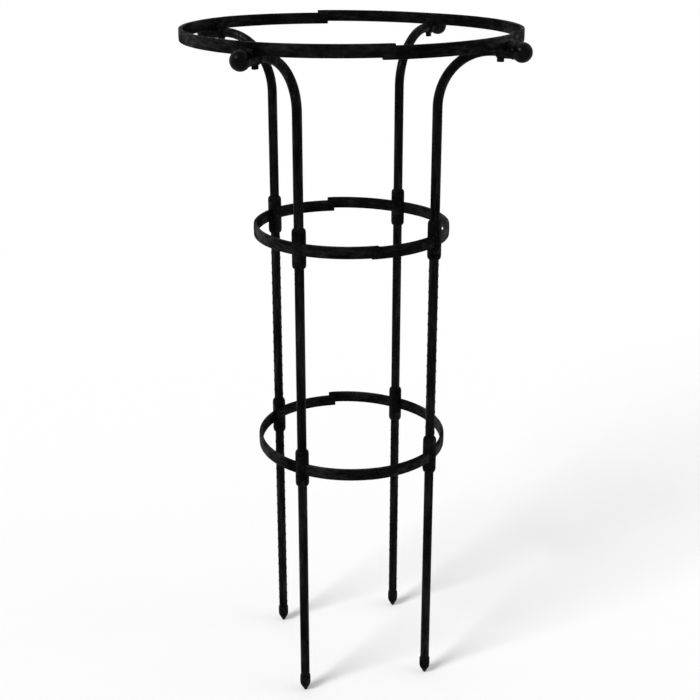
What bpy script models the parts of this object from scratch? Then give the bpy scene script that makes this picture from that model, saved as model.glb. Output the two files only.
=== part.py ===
"""A four-legged plant support with three rings, in metres, +Z up, standing on its points at z = 0.

Four legs of plugged-together tubes carry two small rings in their sleeves. Above them the tubes
bend outwards into clips that carry a wide ring, with a ball on the outer end of each. Front is -Y,
left is -X.
"""

import math

import bmesh
import bpy
import numpy as np

# Clearances between pieces that fit together
CLEARANCE = 0.0003

# Rings
SMALL_RING_RADIUS = 0.125
WIDE_RING_RADIUS = 0.210
BAND_HEIGHT = 0.015
BAND_THICKNESS = 0.005
LAP_STEP = 0.003
SMALL_LAP_LENGTH = 0.008
WIDE_LAP_LENGTH = 0.013
WIDE_LAP_SHIFT = 0.0083
PEG_RADIUS = 0.002
PEG_PROUD = 0.0006

# Heights
FOOT_TO_BOTTOM_RING = 0.344
BOTTOM_TO_MIDDLE_RING = 0.297
MIDDLE_TO_TOP_RING = 0.249

# Tubes
TUBE_RADIUS = 0.0061
TUBE_WALL = 0.0012
LEG_INSIDE_RING = 0.0027
BEND_TO_CLIP = 0.0042

# Sleeves
SLEEVE_RADIUS = 0.0089
SLEEVE_LENGTH = 0.050
SLEEVE_CHAMFER = 0.0013
SLOT_FLOOR = 0.0015

# Clips of the wide ring
ARM_BELOW_RING = 0.011
CLIP_WALL = 0.0018
CLIP_INBOARD = 0.0110
CLIP_OUTBOARD = 0.0070
SOCKET_FLOOR = 0.0016
SPIGOT_RADIUS = 0.0045
CHEEK_THICKNESS = 0.0022
CHEEK_WIDTH = 0.013
CHEEK_GRIP = 0.008
CHEEK_MARGIN = 0.0008
TAB_LENGTH = 0.007
TAB_WIDTH = 0.005
TAB_DROP = 0.0042
TAB_FROM_END = 0.0005

# Ball ends
BALL_RADIUS = 0.0118
BALL_NECK_RADIUS = 0.0088
BALL_OUTSIDE_RING = 0.0198

# Ground points
POINT_RADIUS = 0.0070
POINT_BLUNT_RADIUS = 0.0015
POINT_CONE_LENGTH = 0.0105
POINT_COLLAR_LENGTH = 0.014
POINT_PLUG_LENGTH = 0.012

# Fineness of round shapes
TUBE_SIDES = 16
BALL_SIDES = 20
BALL_ROWS = 9
BEND_STEPS = 10
PEG_SIDES = 10
SMALL_ARC_STEPS = 12
WIDE_ARC_STEPS = 36

# Sizes that follow from the ones above
HALF_TURN = math.pi
QUARTER_TURN = math.pi / 2
LEG_FROM_MIDDLE = math.pi / 4
LEG_RADIUS = SMALL_RING_RADIUS - LEG_INSIDE_RING
BEND_RADIUS = WIDE_RING_RADIUS - CLIP_INBOARD - BEND_TO_CLIP - LEG_RADIUS
BORE_RADIUS = TUBE_RADIUS + CLEARANCE
WEB_HALF = BAND_HEIGHT / 2 + CLEARANCE + SLOT_FLOOR
TUBE_END = WEB_HALF + CLEARANCE
LAP_OFFSET = (BAND_THICKNESS + CLEARANCE) / 2
SOCKET_END = BAND_THICKNESS / 2 + CLEARANCE + SOCKET_FLOOR
POINT_LENGTH = POINT_CONE_LENGTH + POINT_COLLAR_LENGTH
BALL_NECK_START = CLIP_OUTBOARD + CLEARANCE
BOTTOM_RING_HEIGHT = FOOT_TO_BOTTOM_RING
MIDDLE_RING_HEIGHT = BOTTOM_RING_HEIGHT + BOTTOM_TO_MIDDLE_RING
TOP_RING_HEIGHT = MIDDLE_RING_HEIGHT + MIDDLE_TO_TOP_RING
ARM_HEIGHT = TOP_RING_HEIGHT - ARM_BELOW_RING
SLEEVE_HOLD = SLEEVE_RADIUS * 1.4
CLIP_HOLD = CHEEK_WIDTH / 2 + WIDE_LAP_SHIFT + CHEEK_MARGIN
WIDE_RING_TURN = -WIDE_LAP_SHIFT / WIDE_RING_RADIUS

LEG_ANGLES = {
    "front_left": math.radians(225),
    "front_right": math.radians(315),
    "back_left": math.radians(135),
    "back_right": math.radians(45),
}


def clear_scene():
    """Empties the scene that Blender opens with."""
    for obj in list(bpy.data.objects):
        bpy.data.objects.remove(obj, do_unlink=True)


def material(name, colour, roughness, metallic=0.0):
    """A Principled material with a plain colour."""
    made = bpy.data.materials.new(name)
    made.use_nodes = True
    shader = made.node_tree.nodes["Principled BSDF"]
    shader.inputs["Base Color"].default_value = (*colour, 1.0)
    shader.inputs["Roughness"].default_value = roughness
    shader.inputs["Metallic"].default_value = metallic
    return made


def tube_material():
    """Black plastic coat on a steel tube."""
    return material("coated_tube", (0.018, 0.018, 0.019), 0.38)


def sleeve_material():
    """Moulded black plastic of the sleeves and points."""
    return material("moulded_black", (0.016, 0.016, 0.017), 0.45)


def band_material():
    """Smoother black plastic strip of the rings."""
    return material("band_black", (0.020, 0.020, 0.021), 0.33)


def ball_material():
    """Shiny black plastic of the ball ends."""
    return material("ball_black", (0.015, 0.015, 0.016), 0.25)


def mesh_of(points, faces):
    """One closed mesh from points and faces, with every face turned outwards."""
    mesh = bpy.data.meshes.new("shape")
    mesh.from_pydata([tuple(map(float, point)) for point in points], [], faces)
    shape = bmesh.new()
    shape.from_mesh(mesh)
    bmesh.ops.recalc_face_normals(shape, faces=shape.faces)
    shape.to_mesh(mesh)
    shape.free()
    return mesh


def lathe(profile, sides=TUBE_SIDES, closed=False):
    """Turns a profile of (radius, height) about Z. It starts and ends on the axis, or closes on itself."""
    points = []
    rings = []
    for radius, height in profile:
        start = len(points)
        if radius == 0:
            points.append((0.0, 0.0, height))
            rings.append([start])
            continue
        for side in range(sides):
            angle = 2 * math.pi * side / sides
            points.append((radius * math.cos(angle), radius * math.sin(angle), height))
        rings.append(list(range(start, start + sides)))
    pairs = list(zip(rings, rings[1:]))
    if closed:
        pairs.append((rings[-1], rings[0]))
    faces = []
    for first, second in pairs:
        for side in range(sides):
            after = side + 1
            corners = [
                first[side % len(first)],
                first[after % len(first)],
                second[after % len(second)],
                second[side % len(second)],
            ]
            faces.append(list(dict.fromkeys(corners)))
    return mesh_of(points, faces)


def box(low, high):
    """A box from its low corner to its high corner."""
    points = [(x, y, z) for x in (low[0], high[0]) for y in (low[1], high[1]) for z in (low[2], high[2])]
    faces = [(0, 1, 3, 2), (4, 6, 7, 5), (0, 4, 5, 1), (2, 3, 7, 6), (0, 2, 6, 4), (1, 5, 7, 3)]
    return mesh_of(points, faces)


def strip(angles, radii, heights, thickness, height):
    """A flat upright band through the given angles, with its middle at those radii and heights."""
    points = []
    for angle, radius, middle in zip(angles, radii, heights):
        for outwards, upwards in ((-1, -1), (1, -1), (1, 1), (-1, 1)):
            reach = radius + outwards * thickness / 2
            level = middle + upwards * height / 2
            points.append((reach * math.cos(angle), reach * math.sin(angle), level))
    faces = [(0, 1, 2, 3)]
    for station in range(len(angles) - 1):
        near = 4 * station
        far = near + 4
        for corner in range(4):
            after = (corner + 1) % 4
            faces.append((near + corner, near + after, far + after, far + corner))
    last = 4 * (len(angles) - 1)
    faces.append((last + 3, last + 2, last + 1, last))
    return mesh_of(points, faces)


def moved(mesh, turn=0.0, tilt=0.0, shift=(0.0, 0.0, 0.0)):
    """The mesh tilted about Y, then turned about Z, then shifted."""
    count = len(mesh.vertices)
    points = np.empty(count * 3)
    mesh.vertices.foreach_get("co", points)
    points = points.reshape(-1, 3)
    about_y = np.array(
        [[math.cos(tilt), 0, math.sin(tilt)], [0, 1, 0], [-math.sin(tilt), 0, math.cos(tilt)]]
    )
    about_z = np.array(
        [[math.cos(turn), -math.sin(turn), 0], [math.sin(turn), math.cos(turn), 0], [0, 0, 1]]
    )
    points = points @ about_y.T @ about_z.T + np.array(shift)
    mesh.vertices.foreach_set("co", points.ravel())
    mesh.update()
    return mesh


def combined(base, joins=(), cuts=()):
    """One mesh: the base with the joins added to it, then the cuts taken from it."""
    body = bpy.data.objects.new("body", base)
    bpy.context.scene.collection.objects.link(body)
    helpers = []
    for operation, meshes in (("UNION", joins), ("DIFFERENCE", cuts)):
        for mesh in meshes:
            helper = bpy.data.objects.new("helper", mesh)
            helper.hide_render = True
            helper.display_type = "WIRE"
            bpy.context.scene.collection.objects.link(helper)
            helpers.append(helper)
            modifier = body.modifiers.new(operation.lower(), "BOOLEAN")
            modifier.operation = operation
            modifier.solver = "EXACT"
            modifier.object = helper
    bpy.context.view_layer.update()
    graph = bpy.context.evaluated_depsgraph_get()
    result = bpy.data.meshes.new_from_object(body.evaluated_get(graph))
    for obj in (body, *helpers):
        bpy.data.objects.remove(obj, do_unlink=True)
    return result


def place(name, mesh, look, location, turn=0.0, tilt=0.0):
    """Puts a copy of a mesh into the scene as one named piece."""
    own = mesh.copy()
    own.name = name
    own.materials.clear()
    own.materials.append(look)
    own.shade_smooth()
    own.set_sharp_from_angle(angle=math.radians(35))
    obj = bpy.data.objects.new(name, own)
    obj.location = location
    obj.rotation_euler = (0.0, tilt, turn)
    bpy.context.scene.collection.objects.link(obj)
    return obj


def band_section(radius, hold):
    """The stretch of band in a sleeve or clip, larger by the clearance, seen from the ring's middle."""
    angles = [-hold / radius, 0.0, hold / radius]
    thickness = BAND_THICKNESS + 2 * CLEARANCE
    height = BAND_HEIGHT + 2 * CLEARANCE
    return strip(angles, [radius] * 3, [0.0] * 3, thickness, height)


def half_band(radius, hold, lap, arc_steps):
    """Half of a ring, level between its legs. Then one end drops inwards and the other climbs outwards."""
    held = hold / radius
    end = QUARTER_TURN + lap / radius / 2
    lap_start = QUARTER_TURN - lap / radius / 2
    ramp_start = LEG_FROM_MIDDLE + held
    ramp = np.linspace(ramp_start, lap_start, arc_steps // 3 + 1)
    middle = np.linspace(held - LEG_FROM_MIDDLE, LEG_FROM_MIDDLE - held, arc_steps + 1)
    angles = [-end, *(-ramp[::-1]), -LEG_FROM_MIDDLE, *middle, LEG_FROM_MIDDLE, *ramp, end]
    shares = np.interp(angles, [-lap_start, -ramp_start, ramp_start, lap_start], [-1, 0, 0, 1])
    radii = radius + LAP_OFFSET * shares
    heights = LAP_STEP / 2 * shares
    band = strip(angles, radii, heights, BAND_THICKNESS, BAND_HEIGHT)
    reach = radius + LAP_OFFSET + BAND_THICKNESS / 2
    peg_profile = [
        (0, radius - LAP_OFFSET),
        (PEG_RADIUS, radius - LAP_OFFSET),
        (PEG_RADIUS, reach + PEG_PROUD),
        (0, reach + PEG_PROUD),
    ]
    hole_radius = PEG_RADIUS + CLEARANCE
    hole_profile = [
        (0, radius),
        (hole_radius, radius),
        (hole_radius, reach + BAND_THICKNESS),
        (0, reach + BAND_THICKNESS),
    ]
    peg = moved(lathe(peg_profile, PEG_SIDES), turn=-QUARTER_TURN, tilt=QUARTER_TURN)
    hole = moved(lathe(hole_profile, PEG_SIDES), turn=QUARTER_TURN, tilt=QUARTER_TURN)
    return combined(band, joins=[peg], cuts=[hole])


def straight_tube(length):
    """A plain tube, open at both ends, standing on its lower end."""
    inner = TUBE_RADIUS - TUBE_WALL
    profile = [(inner, 0.0), (TUBE_RADIUS, 0.0), (TUBE_RADIUS, length), (inner, length)]
    return lathe(profile, closed=True)


def bent_tube(rise, reach):
    """A tube that goes up and bends outwards to lie level. Rise and reach are to its middle line."""
    stations = [(0.0, 0.0, 0.0)]
    for step in range(BEND_STEPS + 1):
        lean = QUARTER_TURN * step / BEND_STEPS
        across = BEND_RADIUS * (1 - math.cos(lean))
        up = rise - BEND_RADIUS * (1 - math.sin(lean))
        stations.append((across, up, lean))
    stations.append((reach, rise, QUARTER_TURN))
    points = []
    for radius in (TUBE_RADIUS, TUBE_RADIUS - TUBE_WALL):
        for across, up, lean in stations:
            for side in range(TUBE_SIDES):
                angle = 2 * math.pi * side / TUBE_SIDES
                inwards = radius * math.cos(angle)
                x = across + inwards * math.cos(lean)
                z = up - inwards * math.sin(lean)
                points.append((x, radius * math.sin(angle), z))
    count = len(stations)
    faces = []
    for wall in (0, count):
        for station in range(wall, wall + count - 1):
            for side in range(TUBE_SIDES):
                after = (side + 1) % TUBE_SIDES
                near = station * TUBE_SIDES
                far = near + TUBE_SIDES
                faces.append((near + side, near + after, far + after, far + side))
    for station in (0, count - 1):
        for side in range(TUBE_SIDES):
            after = (side + 1) % TUBE_SIDES
            outer = station * TUBE_SIDES
            inner = (station + count) * TUBE_SIDES
            faces.append((outer + side, outer + after, inner + after, inner + side))
    return mesh_of(points, faces)


def sleeve():
    """A sleeve with a socket for a tube in each end and a slot across its middle for the band."""
    half = SLEEVE_LENGTH / 2
    narrow = SLEEVE_RADIUS - SLEEVE_CHAMFER
    shoulder = half - SLEEVE_CHAMFER
    profile = [
        (0, -WEB_HALF),
        (BORE_RADIUS, -WEB_HALF),
        (BORE_RADIUS, -half),
        (narrow, -half),
        (SLEEVE_RADIUS, -shoulder),
        (SLEEVE_RADIUS, shoulder),
        (narrow, half),
        (BORE_RADIUS, half),
        (BORE_RADIUS, WEB_HALF),
        (0, WEB_HALF),
    ]
    slot = moved(band_section(SMALL_RING_RADIUS, SLEEVE_HOLD), shift=(-LEG_RADIUS, 0, 0))
    return combined(lathe(profile), cuts=[slot])


def clip():
    """A clip: a socket for the tube, two cheeks that grip the band, a spigot for the ball and a tab below."""
    collar_radius = BORE_RADIUS + CLIP_WALL
    spigot_end = BALL_OUTSIDE_RING - CLEARANCE
    collar_profile = [
        (0, -CLIP_INBOARD),
        (collar_radius, -CLIP_INBOARD),
        (collar_radius, CLIP_OUTBOARD),
        (SPIGOT_RADIUS, CLIP_OUTBOARD),
        (SPIGOT_RADIUS, spigot_end),
        (0, spigot_end),
    ]
    bore_profile = [
        (0, -2 * CLIP_INBOARD),
        (BORE_RADIUS, -2 * CLIP_INBOARD),
        (BORE_RADIUS, -SOCKET_END),
        (0, -SOCKET_END),
    ]
    half_side = HALF_TURN / TUBE_SIDES
    collar = moved(moved(lathe(collar_profile), turn=half_side), tilt=QUARTER_TURN)
    bore = moved(lathe(bore_profile), tilt=QUARTER_TURN)
    cheek_reach = BAND_THICKNESS / 2 + CLEARANCE + CHEEK_THICKNESS
    band_bottom = ARM_BELOW_RING - BAND_HEIGHT / 2
    cheek_top = band_bottom + CHEEK_GRIP
    cheeks = box((-cheek_reach, -CHEEK_WIDTH / 2, 0), (cheek_reach, CHEEK_WIDTH / 2, cheek_top))
    tab_end = TAB_FROM_END - CLIP_INBOARD
    tab = box(
        (tab_end, -TAB_WIDTH / 2, -collar_radius - TAB_DROP),
        (tab_end + TAB_LENGTH, TAB_WIDTH / 2, 0),
    )
    seat_shift = (-WIDE_RING_RADIUS, 0, ARM_BELOW_RING)
    seat = moved(band_section(WIDE_RING_RADIUS, CLIP_HOLD), turn=WIDE_RING_TURN, shift=seat_shift)
    return combined(collar, joins=[cheeks, tab], cuts=[bore, seat])


def ball_end():
    """A ball with a short neck and a socket for the clip's spigot, pointing along +Z from the clip."""
    middle = BALL_OUTSIDE_RING
    socket_radius = SPIGOT_RADIUS + CLEARANCE
    depth = math.sqrt(BALL_RADIUS**2 - BALL_NECK_RADIUS**2)
    neck_angle = math.atan2(depth, BALL_NECK_RADIUS)
    profile = [(0, middle), (socket_radius, middle), (socket_radius, BALL_NECK_START)]
    profile.append((BALL_NECK_RADIUS, BALL_NECK_START))
    for row in range(BALL_ROWS):
        latitude = -neck_angle + (QUARTER_TURN + neck_angle) * row / BALL_ROWS
        profile.append((BALL_RADIUS * math.cos(latitude), middle + BALL_RADIUS * math.sin(latitude)))
    profile.append((0, middle + BALL_RADIUS))
    return lathe(profile, BALL_SIDES)


def ground_point():
    """A blunt point with a collar under the tube and a plug inside it."""
    plug_radius = TUBE_RADIUS - TUBE_WALL - CLEARANCE
    top = POINT_LENGTH + POINT_PLUG_LENGTH
    profile = [
        (0, 0),
        (POINT_BLUNT_RADIUS, 0),
        (POINT_RADIUS, POINT_CONE_LENGTH),
        (POINT_RADIUS, POINT_LENGTH),
        (plug_radius, POINT_LENGTH),
        (plug_radius, top),
        (0, top),
    ]
    return lathe(profile)


def build_legs():
    """Places the four legs, each from its ground point up to its ball end."""
    tube_look = tube_material()
    moulded_look = sleeve_material()
    ball_look = ball_material()
    lower_start = POINT_LENGTH + CLEARANCE
    middle_start = BOTTOM_RING_HEIGHT + TUBE_END
    upper_start = MIDDLE_RING_HEIGHT + TUBE_END
    lower_tube = straight_tube(BOTTOM_RING_HEIGHT - TUBE_END - lower_start)
    middle_tube = straight_tube(BOTTOM_TO_MIDDLE_RING - 2 * TUBE_END)
    arm_reach = WIDE_RING_RADIUS - SOCKET_END - CLEARANCE - LEG_RADIUS
    top_tube = bent_tube(ARM_HEIGHT - upper_start, arm_reach)
    point_mesh = ground_point()
    sleeve_mesh = sleeve()
    clip_mesh = clip()
    ball_mesh = ball_end()
    for corner, angle in LEG_ANGLES.items():
        across = math.cos(angle)
        along = math.sin(angle)

        def put(name, mesh, look, radius, height, tilt=0.0):
            location = (radius * across, radius * along, height)
            place(corner + "_" + name, mesh, look, location, angle, tilt)

        put("ground_point", point_mesh, moulded_look, LEG_RADIUS, 0.0)
        put("lower_tube", lower_tube, tube_look, LEG_RADIUS, lower_start)
        put("lower_sleeve", sleeve_mesh, moulded_look, LEG_RADIUS, BOTTOM_RING_HEIGHT)
        put("middle_tube", middle_tube, tube_look, LEG_RADIUS, middle_start)
        put("upper_sleeve", sleeve_mesh, moulded_look, LEG_RADIUS, MIDDLE_RING_HEIGHT)
        put("bent_top_tube", top_tube, tube_look, LEG_RADIUS, upper_start)
        put("ring_clip", clip_mesh, moulded_look, WIDE_RING_RADIUS, ARM_HEIGHT)
        put("ball_end", ball_mesh, ball_look, WIDE_RING_RADIUS, ARM_HEIGHT, QUARTER_TURN)


def build_rings():
    """Places three rings of two like halves each. The wide one sits turned, its front lap to the left."""
    look = band_material()
    small = half_band(SMALL_RING_RADIUS, SLEEVE_HOLD, SMALL_LAP_LENGTH, SMALL_ARC_STEPS)
    wide = half_band(WIDE_RING_RADIUS, CLIP_HOLD, WIDE_LAP_LENGTH, WIDE_ARC_STEPS)
    rings = (
        ("bottom", small, BOTTOM_RING_HEIGHT, 0.0),
        ("middle", small, MIDDLE_RING_HEIGHT, 0.0),
        ("top", wide, TOP_RING_HEIGHT, WIDE_RING_TURN),
    )
    for level, mesh, height, turn in rings:
        place(level + "_ring_right_half", mesh, look, (0, 0, height), turn)
        place(level + "_ring_left_half", mesh, look, (0, 0, height), turn + HALF_TURN)


clear_scene()
build_legs()
build_rings()
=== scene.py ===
# %% [markdown]
# # A ringed plant support, dressed for a photograph
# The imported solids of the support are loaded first. They fix where every piece sits, in metres, with
# +Z up and the front at -Y. Each later step works out one kind of piece as a smooth surface, puts it
# exactly where its plain solid is, and gives it the finish of the real thing.

# %% Load the frame
import math

import bpy
import numpy as np
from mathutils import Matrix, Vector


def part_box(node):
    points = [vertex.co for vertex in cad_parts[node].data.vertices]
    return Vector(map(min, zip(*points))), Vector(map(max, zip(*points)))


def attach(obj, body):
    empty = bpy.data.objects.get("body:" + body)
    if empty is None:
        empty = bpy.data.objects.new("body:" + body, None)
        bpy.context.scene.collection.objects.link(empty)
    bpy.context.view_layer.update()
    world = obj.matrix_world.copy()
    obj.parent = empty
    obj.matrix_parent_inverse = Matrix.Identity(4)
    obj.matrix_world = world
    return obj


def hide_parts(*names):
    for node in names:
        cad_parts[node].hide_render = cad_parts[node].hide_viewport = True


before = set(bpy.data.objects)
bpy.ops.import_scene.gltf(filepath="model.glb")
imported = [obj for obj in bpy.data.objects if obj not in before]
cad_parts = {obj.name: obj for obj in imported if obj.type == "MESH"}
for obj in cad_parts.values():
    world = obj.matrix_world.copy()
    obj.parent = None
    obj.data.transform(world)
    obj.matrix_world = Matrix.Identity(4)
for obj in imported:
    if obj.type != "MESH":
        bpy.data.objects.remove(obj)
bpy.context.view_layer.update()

# %% [markdown]
# ## Where the legs and rings are
# The four legs stand at the corners of a square and the three rings share one upright axis. Instead
# of typing those places again, they are read from the boxes of the solids, so the looks can't drift
# away from the model. The band is 5 mm thick and 15 mm high, which the ring radius is corrected for.

# %% Read the layout from the solids
MM = 0.001
BAND_THICKNESS = 5.0 * MM
BAND_HEIGHT = 15.0 * MM
CORNERS = ("front_left", "front_right", "back_left", "back_right")
LEVELS = ("bottom", "middle", "top")


def middle_of(node):
    """The middle of a node's box: half the sum of its lowest and highest corner."""
    low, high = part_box(node)
    return (low + high) / 2


corner_angle = {}
for corner in CORNERS:
    foot = middle_of(corner + "_ground_point")
    corner_angle[corner] = math.atan2(foot.y, foot.x)
leg_radius = middle_of("front_left_ground_point").xy.length
ring_height = {level: middle_of(level + "_ring_right_half").z for level in LEVELS}
ring_radius = {
    level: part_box(level + "_ring_right_half")[1].x - BAND_THICKNESS / 2 for level in LEVELS
}
print("legs at", round(leg_radius, 4), "rings", {k: round(v, 4) for k, v in ring_radius.items()})

# %% [markdown]
# ## Surfaces from grids of points
# Every piece here is one closed skin: rows of points that run along the piece, each row a loop round
# it. A learner would reach for ready-made cylinders, but a grid that is computed as one array can
# carry fillets, slots and nubs in the same skin, and its cells give tidy texture coordinates. A grid
# closes in one of two ways: its first and last rows shrink to a point (a pole), or its last row joins
# its first one, as in an open-ended tube with an inner wall. The whole numbers in the calls of
# linspace say how many grid lines a stretch gets, which is more where it curves.

# %% Cells of a grid
def grid_skin(points, around, along, rows_close=False, skip=None):
    """Cells of a grid of points, as (points, corner numbers, texture places).

    Cell (i, j) has the corners (i, j), (i, j+1), (i+1, j+1), (i+1, j), and its columns always close
    on themselves. skip marks the cells to leave out. around and along give the texture place.
    """
    rows, columns, _ = points.shape
    number = np.arange(rows * columns).reshape(rows, columns)
    if not rows_close:
        number[0] = number[0, 0]
        number[-1] = number[-1, 0]
    near = number if rows_close else number[:-1]
    far = np.roll(number, -1, axis=0) if rows_close else number[1:]
    corners = np.stack([near, np.roll(near, -1, axis=1), np.roll(far, -1, axis=1), far], axis=-1)
    across = np.broadcast_to(around, (len(near), columns + 1))
    length = np.broadcast_to(along[:, None], (len(along), columns))
    places = np.empty(corners.shape + (2,))
    places[..., 0] = np.stack([across[:, :-1], across[:, 1:], across[:, 1:], across[:, :-1]], axis=-1)
    places[..., 1] = np.stack([length[:-1], length[:-1], length[1:], length[1:]], axis=-1)
    keep = np.ones(corners.shape[:2], bool) if skip is None else ~skip
    return points.reshape(-1, 3), corners[keep], places[keep]


def joined(*skins):
    """Several skins as one: their points one after the other, with corner numbers moved on to match."""
    starts = np.cumsum([0] + [len(skin[0]) for skin in skins[:-1]])
    points = np.concatenate([skin[0] for skin in skins])
    corners = np.concatenate([skin[1] + start for skin, start in zip(skins, starts)])
    return points, corners, np.concatenate([skin[2] for skin in skins])


def run_length(points, closed=False):
    """Distance along a line of points from its first one, and on to that one again if it is closed."""
    if closed:
        points = np.vstack([points, points[:1]])
    steps = np.linalg.norm(np.diff(points, axis=0), axis=1)
    return np.concatenate([[0.0], np.cumsum(steps)])


# %% [markdown]
# ## Finishes: what is on the surface
# The whole support is near-black plastic. Black plastic isn't flat: its tone drifts a little, its
# skin has a fine grain from the mould, edges are rubbed paler, handling leaves hairline marks, and
# some dust settles on faces that look up. Each of these effects is one shader node group with named
# inputs, built once here and placed in each material below with its own values.

# %% Add a shader node
NODES_IN_A_ROW = 12
NODE_SPACE = (190, -260)


def add_node(tree, kind, inputs=None, **settings):
    """Adds a node to a tree, sets its settings, and links or fills its inputs by name or number."""
    made = tree.nodes.new(kind)
    row, column = divmod(len(tree.nodes), NODES_IN_A_ROW)
    made.location = (NODE_SPACE[0] * column, NODE_SPACE[1] * row)
    for key, value in settings.items():
        setattr(made, key, value)
    for key, value in (inputs or {}).items():
        if isinstance(value, bpy.types.NodeSocket):
            tree.links.new(value, made.inputs[key])
        else:
            made.inputs[key].default_value = value
    return made


# %% Arithmetic with nodes
def maths(tree, operation, value, *others):
    """The value that Math nodes work out, each one from the last result and the next value."""
    for other in others:
        value = add_node(tree, "ShaderNodeMath", {0: value, 1: other}, operation=operation).outputs[0]
    return value


def times(tree, *values):
    """All the values multiplied."""
    return maths(tree, "MULTIPLY", *values)


def plus(tree, *values):
    """The sum of the values."""
    return maths(tree, "ADD", *values)


# %% Patterns, ranges and colours
def noise(tree, place, scale, detail=2.0, roughness=0.5):
    """The value of a noise field, with so many spots to a metre."""
    inputs = {"Vector": place, "Scale": scale, "Detail": detail, "Roughness": roughness}
    return add_node(tree, "ShaderNodeTexNoise", inputs).outputs["Fac"]


def stretch(tree, value, low, high, first=0.0, last=1.0):
    """A value drawn out so that low becomes first and high becomes last, held within those."""
    inputs = {"Value": value, "From Min": low, "From Max": high, "To Min": first, "To Max": last}
    return add_node(tree, "ShaderNodeMapRange", inputs).outputs["Result"]


def blend(tree, share, first, second):
    """A colour that goes from the first to the second as share goes from 0 to 1."""
    inputs = {0: share, 6: first, 7: second}
    return add_node(tree, "ShaderNodeMix", inputs, data_type="RGBA").outputs[2]


def scaled(tree, place, factors):
    """A place with each of its three numbers multiplied, which squeezes a pattern along them."""
    inputs = {0: place, 1: factors}
    return add_node(tree, "ShaderNodeVectorMath", inputs, operation="MULTIPLY").outputs[0]


# %% [markdown]
# A group needs sockets before anything can be linked to them. The decorator below takes care of that:
# the function under it works out the group's outputs from its inputs, and after it the function's
# name stands for the finished group.

# %% From a function to a shader group
SOCKET_KINDS = {"Place": "Vector", "Run": "Vector", "Deep": "Color", "Pale": "Color", "Colour": "Color"}


def shader_group(*labels):
    """Makes the function under it a shader group with these inputs and the outputs that it returns."""
    def make(work_out):
        group = bpy.data.node_groups.new(work_out.__name__, "ShaderNodeTree")

        def add_sockets(names, side):
            for name in names:
                kind = "NodeSocket" + SOCKET_KINDS.get(name, "Float")
                group.interface.new_socket(name=name, in_out=side, socket_type=kind)

        add_sockets(labels, "INPUT")
        results = work_out(group, add_node(group, "NodeGroupInput").outputs)
        add_sockets(results, "OUTPUT")
        add_node(group, "NodeGroupOutput", results)
        print("group:", group.name, list(labels), "->", list(results))
        return group
    return make


# %% [markdown]
# The first two groups make the tone and the grain. Tone drift mixes a deep and a pale black by soft
# noise of two sizes. Mould grain adds a fine and a very fine noise into one height, which a Bump node
# in the material turns into tiny slopes. Noise is chosen over an image because it has no seams.

# %% Groups for tone and grain
@shader_group("Place", "Deep", "Pale", "Spots per metre")
def tone_drift(tree, give):
    """Share = 0.7 wide noise + 0.3 small noise, drawn out. The colour goes from deep to pale by it."""
    wide = noise(tree, give["Place"], give["Spots per metre"], 3.0)
    small = noise(tree, give["Place"], times(tree, give["Spots per metre"], 9.0))
    share = stretch(tree, plus(tree, times(tree, wide, 0.7), times(tree, small, 0.3)), 0.36, 0.64)
    return {"Colour": blend(tree, share, give["Deep"], give["Pale"]), "Share": share}


@shader_group("Place", "Grains per metre")
def mould_grain(tree, give):
    """Height = noise + 0.4 of a noise with 3.1 times as many spots."""
    coarse = noise(tree, give["Place"], give["Grains per metre"], 2.0, 0.6)
    fine = noise(tree, give["Place"], times(tree, give["Grains per metre"], 3.1), 1.0)
    return {"Height": plus(tree, coarse, times(tree, fine, 0.4))}


# %% [markdown]
# Wear comes in three groups. Rubbed edges break the measured wear up with noise, so an edge is worn in
# patches. Hairlines are noise squeezed in two directions and pulled out in the third, cut off high up
# so that only thin strokes stay; two of them cross at an angle. Dust lies where the surface looks up.

# %% Groups for wear and dust
WEAR_SPOTS = 160.0
HANDLED_SPOTS = 34.0
DUST_SPECKS = 420.0
HAIRLINE_TURNS = ((0.3, 0.2, 0.0), (1.1, -0.6, 0.4))
HAIRLINE_SCALES = ((950.0, 950.0, 46.0), (1300.0, 1300.0, 70.0))


@shader_group("Place", "Wear", "Strength")
def rubbed_edges(tree, give):
    """Mask = wear times patches times strength, 1 at most."""
    patches = stretch(tree, noise(tree, give["Place"], WEAR_SPOTS, 4.0, 0.6), 0.34, 0.62)
    return {"Mask": maths(tree, "MINIMUM", times(tree, give["Wear"], patches, give["Strength"]), 1.0)}


@shader_group("Place", "Strength")
def hairlines(tree, give):
    """Mask = the larger of two sets of strokes, times where hands have been, times strength."""
    strokes = []
    for turn, scales in zip(HAIRLINE_TURNS, HAIRLINE_SCALES):
        inputs = {"Vector": give["Place"], "Rotation": turn}
        laid = add_node(tree, "ShaderNodeVectorRotate", inputs, rotation_type="EULER_XYZ").outputs[0]
        strokes.append(stretch(tree, noise(tree, scaled(tree, laid, scales), 1.0, 1.0), 0.70, 0.78))
    here = stretch(tree, noise(tree, give["Place"], HANDLED_SPOTS), 0.48, 0.62)
    return {"Mask": times(tree, maths(tree, "MAXIMUM", *strokes), here, give["Strength"])}


@shader_group("Place", "Upward", "Strength")
def settled_dust(tree, give):
    """Mask = specks times how far the surface looks up, times strength."""
    specks = stretch(tree, noise(tree, give["Place"], DUST_SPECKS, 5.0, 0.7), 0.42, 0.72)
    return {"Mask": times(tree, specks, stretch(tree, give["Upward"], 0.25, 0.95), give["Strength"])}


# %% [markdown]
# Hands leave a thin uneven film, which is why a black piece never mirrors its surroundings evenly. The
# film is soft noise of two sizes, cubed so that most of the surface is dull and clear places are
# rare. The materials below use it as a share between a dull and a clear reflection.
#
# Tubes and bands leave a die, so they carry faint lines along their run. Their texture place is
# measured in metres round and along the piece, and noise that is tight round the piece and very long
# along it gives those drawn lines. They are a height for the bump and a mask for the gloss.

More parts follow.
